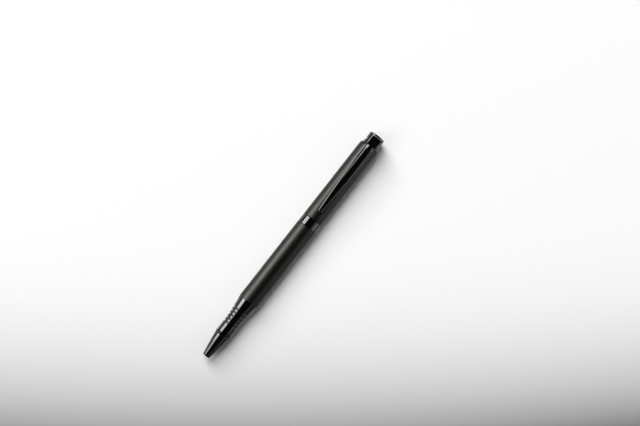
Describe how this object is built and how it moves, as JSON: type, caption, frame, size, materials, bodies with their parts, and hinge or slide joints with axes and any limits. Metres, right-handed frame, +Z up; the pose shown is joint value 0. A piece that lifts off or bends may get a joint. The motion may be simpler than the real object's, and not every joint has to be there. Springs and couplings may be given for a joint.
{
  "type": "ballpoint pen",
  "caption": "Twist-action metal ballpoint pen: grooved tapered nose, satin barrels, glossy centre ring and cap, spring clip, refill with spring and helical cam inside.",
  "frame": {"origin": "on the surface the pen lies on, under the middle of its length", "axes": "+X along the pen's axis from the nose to the cap, +Z up through the clip, which lies on top"},
  "size_m": [0.137, 0.0108, 0.0131],
  "materials": {
    "satin_gunmetal": "satin dark grey metallic lacquer on a drawn brass tube",
    "black_lacquer": "glossy black lacquer on turned or cast metal",
    "brass": "turned",
    "steel": "plain",
    "acetal": "moulded, matt",
    "rubber": "moulded"
  },
  "bodies": {
    "lower_body": {"lower_barrel": "satin_gunmetal", "front_bush": "brass", "centre_ring": "black_lacquer", "mechanism_bush": "brass", "o_ring": "rubber", "guide_tube": "steel", "retaining_ring": "steel"},
    "front_section": {"nose_cone": "black_lacquer", "nose_ring": "black_lacquer", "grip_section": "black_lacquer", "return_spring": "steel"},
    "upper_body": {"upper_barrel": "satin_gunmetal", "bearing_sleeve": "acetal", "cam_tube": "acetal", "top_plug": "brass", "neck_ring": "black_lacquer", "clip_ring": "black_lacquer", "top_cap": "black_lacquer", "cap_stud": "steel"},
    "refill": {"refill_tube": "steel", "refill_point": "brass", "refill_end_plug": "acetal", "plunger": "acetal", "cross_pin": "steel"},
    "ball": {"point_ball": "steel"},
    "clip": {"clip": "black_lacquer"}
  },
  "joints": [
    {"name": "barrel_twist", "type": "hinge", "parent": "lower_body", "child": "upper_body", "pos_m": [0.01615, 0, 0.00536], "axis": [-1, 0, 0], "range_deg": [0, 180]},
    {"name": "refill_slide", "type": "slide", "parent": "lower_body", "child": "refill", "axis": [-1, 0, 0], "range_m": [0, 0.005], "deforming": ["return_spring"]},
    {"name": "front_unscrew", "type": "slide", "parent": "lower_body", "child": "front_section", "axis": [-1, 0, 0], "range_m": [0, 0.04]},
    {"name": "clip_lift", "type": "hinge", "parent": "upper_body", "child": "clip", "pos_m": [0.064, 0, 0.00979], "axis": [0, 1, 0], "range_deg": [0, 3.5], "stiffness_Nm_per_rad": 4.8},
    {"name": "ball_roll", "type": "hinge", "parent": "refill", "child": "ball", "pos_m": [-0.0662, 0, 0.00536], "axis": [0, 1, 0], "continuous": true}
  ],
  "couplings": [
    {"joint": "barrel_twist", "follows": "refill_slide", "rad_per_m": 628.31}
  ]
}
